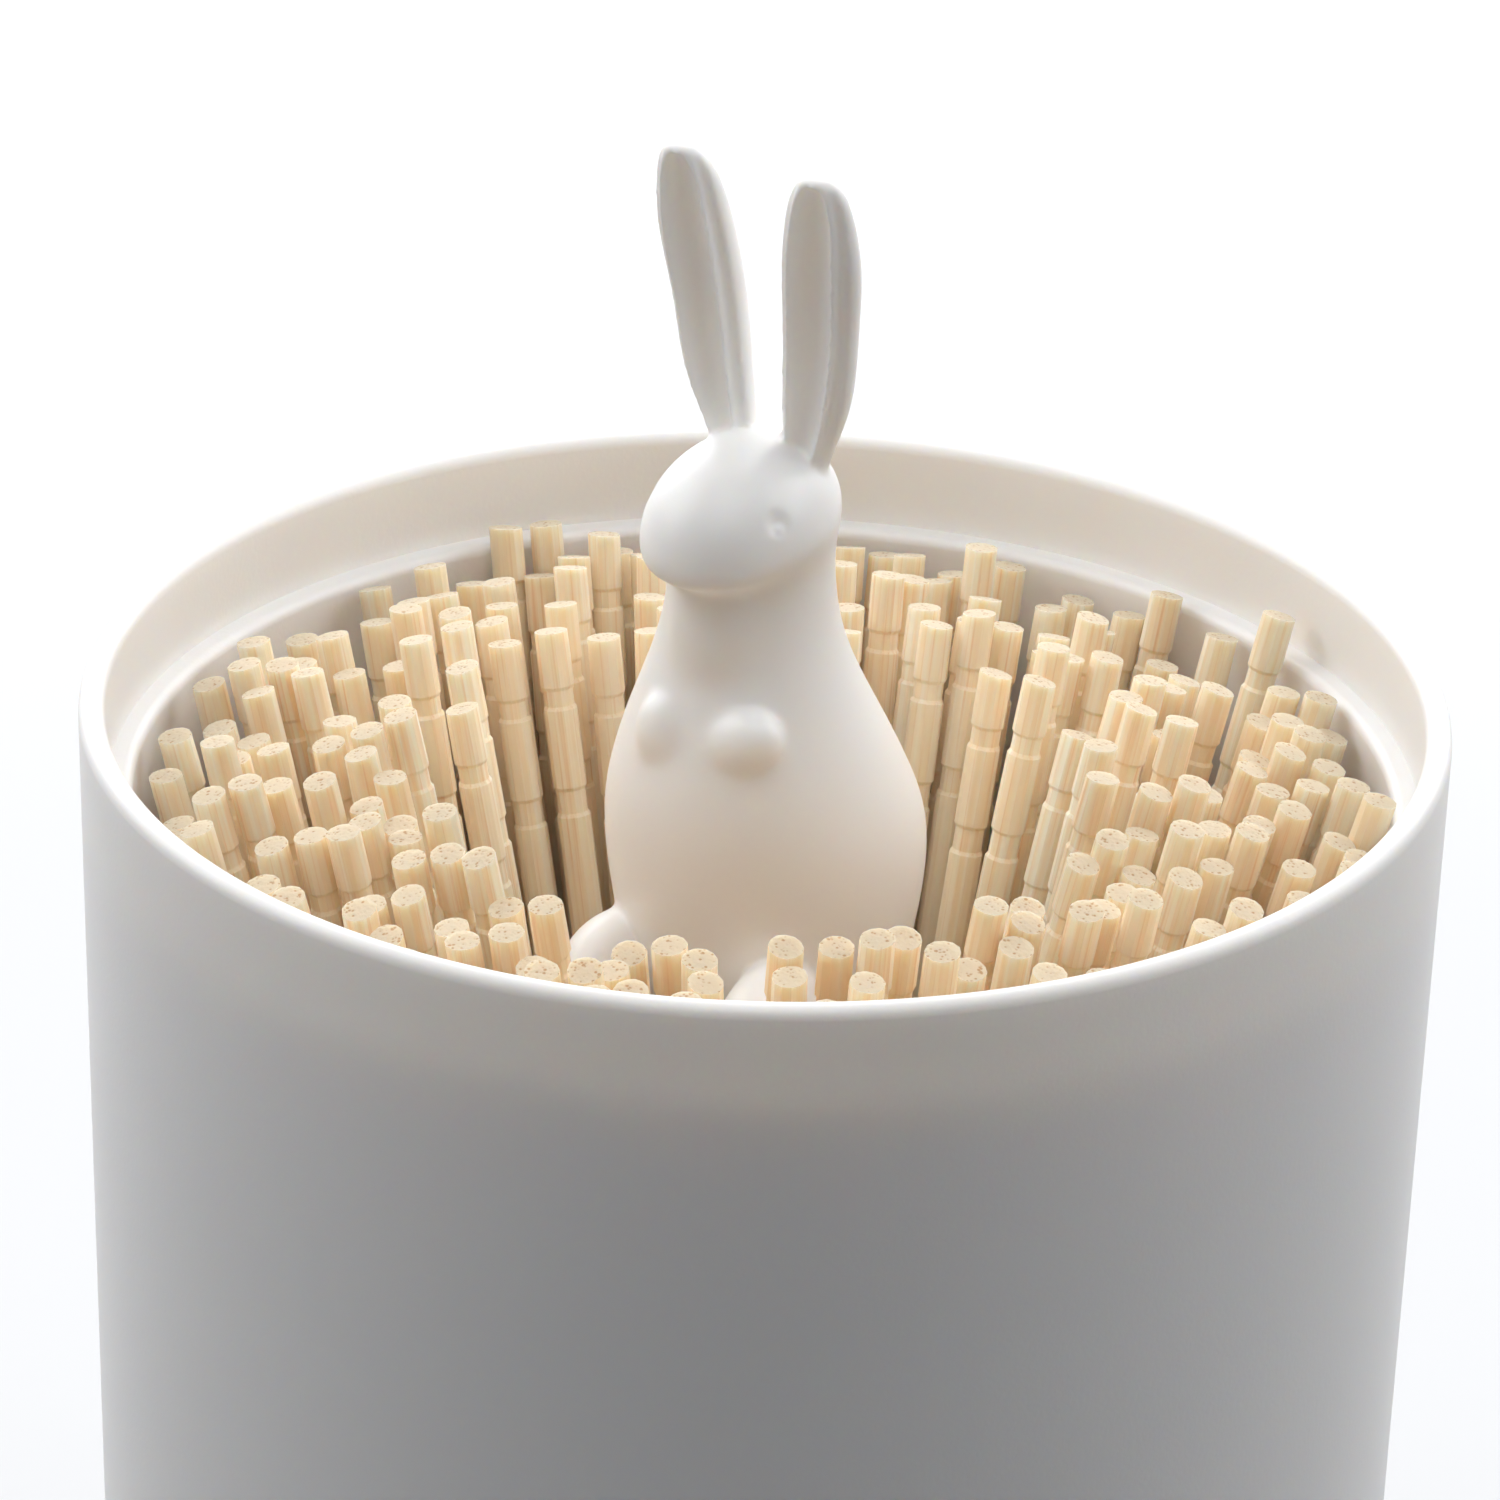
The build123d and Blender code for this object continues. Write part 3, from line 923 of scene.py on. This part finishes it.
@dataclass
class Lift:
    """Tray, tube, bush and guide inside the cup, kept as the CAD shapes."""

    plastics: Sequence[str] = ("lift_tube", "toothpick_tray")
    bushes: Sequence[str] = ("guide_bush",)
    steels: Sequence[str] = ("guide_spindle", "base_screw", "stop_washer", "stop_screw")

    def build(self, plastic: MouldedPlastic, bush: MouldedPlastic, steel: TurnedSteel) -> None:
        """Dress the CAD nodes of the lift.

        Args:
            plastic: Finish of the tray and the tube.
            bush: Finish of the bush.
            steel: Finish of the spindle, screws and washer.
        """
        for nodes, finish in ((self.plastics, plastic), (self.bushes, bush), (self.steels, steel)):
            material = finish.material()
            for node in nodes:
                dress(frame["nodes"][node], material)
                log.info("dressed %s with %s", node, material.name)


@dataclass(frozen=True)
class Lamp:
    """Square softbox aimed at the cup's rim."""

    name: str
    azimuth_deg: float
    elevation_deg: float
    power_w: float
    distance_mm: float = 620.0
    size_mm: float = 420.0
    colour: str = WHITE


@dataclass
class Studio:
    """Pale floor, white surroundings, softboxes and the camera of the photograph."""

    lamps: Sequence[Lamp] = (
        Lamp("softbox_top", 32, 66, 1.15),
        Lamp("softbox_left", -68, 40, 1.85),
        Lamp("softbox_right", 132, 40, 1.7),
        Lamp("softbox_back_left", -118, 24, 1.6),
        Lamp("softbox_back_right", 182, 24, 1.45),
        Lamp("softbox_back", 212, 55, 0.9),
    )
    aim_mm: tuple[float, float, float] = (0.0, 0.0, 60.0)
    surround: str = "#DFE3EA"
    surround_level: float = 0.02
    floor_size_mm: float = 8000.0
    floor_colour: str = "#8C8E92"
    floor_glow: float = 0.62
    lit_radius_mm: float = 130.0
    white_radius_mm: float = 420.0
    camera_mm: tuple[float, float, float] = (206.85, -331.03, 258.74)
    camera_aim_mm: tuple[float, float, float] = (0.515, -2.357, 73.539)
    camera_up: tuple[float, float, float] = (-0.252295, 0.349958, 0.902151)
    lens_mm: float = 184.28
    sensor_mm: float = 36.0
    near_clip_mm: float = 10.0

    def build(self) -> None:
        """Set the stage, the lamps and the camera."""
        self.lay_floor()
        self.surround_with_white()
        for lamp in self.lamps:
            self.hang(lamp)
        self.set_camera()
        bpy.context.scene.view_settings.view_transform = "Standard"

    def seen_directly(self, tree: bpy.types.NodeTree) -> bpy.types.NodeSocket:
        """Tell rays from the camera, and those mirrored or let through, from light that bounces.

        Args:
            tree: Node tree that gets the nodes.

        Returns:
            Socket that is one for a ray that shows the surroundings.
        """
        path = add_node(tree, "ShaderNodeLightPath").outputs
        first = add_node(tree, "ShaderNodeMath", {
            0: path["Is Camera Ray"], 1: path["Is Glossy Ray"],
        }, operation="MAXIMUM")
        both = add_node(tree, "ShaderNodeMath", {
            0: first.outputs["Value"], 1: path["Is Transmission Ray"],
        }, operation="MAXIMUM")
        return both.outputs["Value"]

    def lay_floor(self) -> None:
        """Lay a pale floor that goes to white away from the cup and keeps its shadow."""
        bpy.ops.object.select_all(action="DESELECT")
        bpy.ops.mesh.primitive_plane_add(size=self.floor_size_mm * MM, location=(0, 0, 0))
        floor = bpy.context.object
        floor.name = "floor"
        material, tree = new_material("pale_floor")
        place = add_node(tree, "ShaderNodeTexCoord").outputs["Object"]
        reach = add_node(tree, "ShaderNodeVectorMath", {0: place}, operation="LENGTH")
        glow = add_node(tree, "ShaderNodeMapRange", {
            "Value": reach.outputs["Value"],
            "From Min": self.lit_radius_mm * MM,
            "From Max": self.white_radius_mm * MM,
            "To Min": self.floor_glow,
            "To Max": 1.0,
        }, interpolation_type="SMOOTHSTEP")
        matt = add_node(tree, "ShaderNodeBsdfDiffuse", {"Color": linear(self.floor_colour)})
        shine = add_node(tree, "ShaderNodeEmission", {"Strength": glow.outputs["Result"]})
        white = add_node(tree, "ShaderNodeAddShader", {0: matt.outputs["BSDF"], 1: shine.outputs["Emission"]})
        shown = add_node(tree, "ShaderNodeMixShader", {
            0: self.seen_directly(tree), 1: matt.outputs["BSDF"], 2: white.outputs["Shader"],
        })
        add_node(tree, "ShaderNodeOutputMaterial", {"Surface": shown.outputs["Shader"]})
        dress(floor, material)

    def surround_with_white(self) -> None:
        """Make the surroundings white to the eye and a weak fill light otherwise."""
        world = bpy.data.worlds.new("studio")
        world.use_nodes = True
        tree = world.node_tree
        tree.nodes.clear()
        fill = add_node(tree, "ShaderNodeBackground", {
            "Color": linear(self.surround), "Strength": self.surround_level,
        })
        white = add_node(tree, "ShaderNodeBackground", {"Strength": 1.0, "Color": linear(WHITE)})
        shown = add_node(tree, "ShaderNodeMixShader", {
            0: self.seen_directly(tree), 1: fill.outputs["Background"], 2: white.outputs["Background"],
        })
        add_node(tree, "ShaderNodeOutputWorld", {"Surface": shown.outputs["Shader"]})
        bpy.context.scene.world = world

    def hang(self, lamp: Lamp) -> None:
        """Hang one softbox and turn it to the cup.

        Args:
            lamp: The softbox.
        """
        azimuth, elevation = math.radians(lamp.azimuth_deg), math.radians(lamp.elevation_deg)
        flat = math.cos(elevation)
        outward = Vector((math.sin(azimuth) * flat, -math.cos(azimuth) * flat, math.sin(elevation)))
        light = bpy.data.lights.new(lamp.name, "AREA")
        light.shape = "SQUARE"
        light.size = lamp.size_mm * MM
        light.energy = lamp.power_w
        light.color = linear(lamp.colour)[:3]
        softbox = bpy.data.objects.new(lamp.name, light)
        softbox.location = (Vector(self.aim_mm) + outward * lamp.distance_mm) * MM
        softbox.rotation_euler = outward.to_track_quat("Z", "Y").to_euler()
        softbox.visible_camera = False
        bpy.context.scene.collection.objects.link(softbox)

    def set_camera(self) -> None:
        """Stand the camera where the photograph was taken from."""
        lens = bpy.data.cameras.new("camera")
        lens.sensor_width = self.sensor_mm
        lens.lens = self.lens_mm
        lens.clip_start = self.near_clip_mm * MM
        camera = bpy.data.objects.new("camera", lens)
        place = Vector(self.camera_mm) * MM
        back = (Vector(self.camera_mm) - Vector(self.camera_aim_mm)).normalized()
        right = Vector(self.camera_up).cross(back).normalized()
        up = back.cross(right)
        turn = Matrix((right, up, back)).transposed().to_4x4()
        camera.matrix_world = Matrix.Translation(place) @ turn
        bpy.context.scene.collection.objects.link(camera)
        bpy.context.scene.camera = camera


@dataclass
class ToothpickHolder:
    """The whole holder: its sub-assemblies and their finishes."""

    cup: Cup = field(default_factory=Cup)
    rabbit: Rabbit = field(default_factory=Rabbit)
    stick: Stick = field(default_factory=Stick)
    lift: Lift = field(default_factory=Lift)
    cup_plastic: MouldedPlastic = MouldedPlastic(
        "moulded_abs_cup", "#F6F5F4", "#F2F1F0", 0.42, 0.3, 0.012, glow=0.55, glow_reach_mm=2.0,
    )
    rabbit_plastic: MouldedPlastic = MouldedPlastic(
        "moulded_abs_rabbit", "#FBFAF8", "#F8F7F5", 0.38, 0.25, 0.004, glow=0.6, glow_reach_mm=1.3,
    )
    lift_plastic: MouldedPlastic = MouldedPlastic(
        "moulded_abs_lift", "#EFEDE9", "#EAE8E4", 0.45, 0.3, 0.012,
    )
    bush_plastic: MouldedPlastic = MouldedPlastic(
        "moulded_acetal_bush", "#F1EAD8", "#EAE2CE", 0.35, 0.3, 0.006,
    )

    def build(self) -> None:
        """Build every sub-assembly in order and report each piece."""
        log.info("built %s", self.cup.build(self.cup_plastic).name)
        log.info("built %s", self.rabbit.build(self.rabbit_plastic).name)
        self.lift.build(self.lift_plastic, self.bush_plastic, TurnedSteel())
        pattern = self.stick.build(BambooSide().material(), BambooEnd().material())
        named = [node for node in frame["nodes"] if "toothpick" in node]
        sectors = sorted(node for node in named if node not in self.lift.plastics)
        for piece in ToothpickFan(sectors).build(pattern):
            log.info("built %s", piece.name)


def main() -> None:
    """Build the holder and its studio."""
    logging.basicConfig(level=logging.INFO, format="%(name)s: %(message)s")
    ToothpickHolder().build()
    Studio().build()


if __name__ == "__main__":
    main()
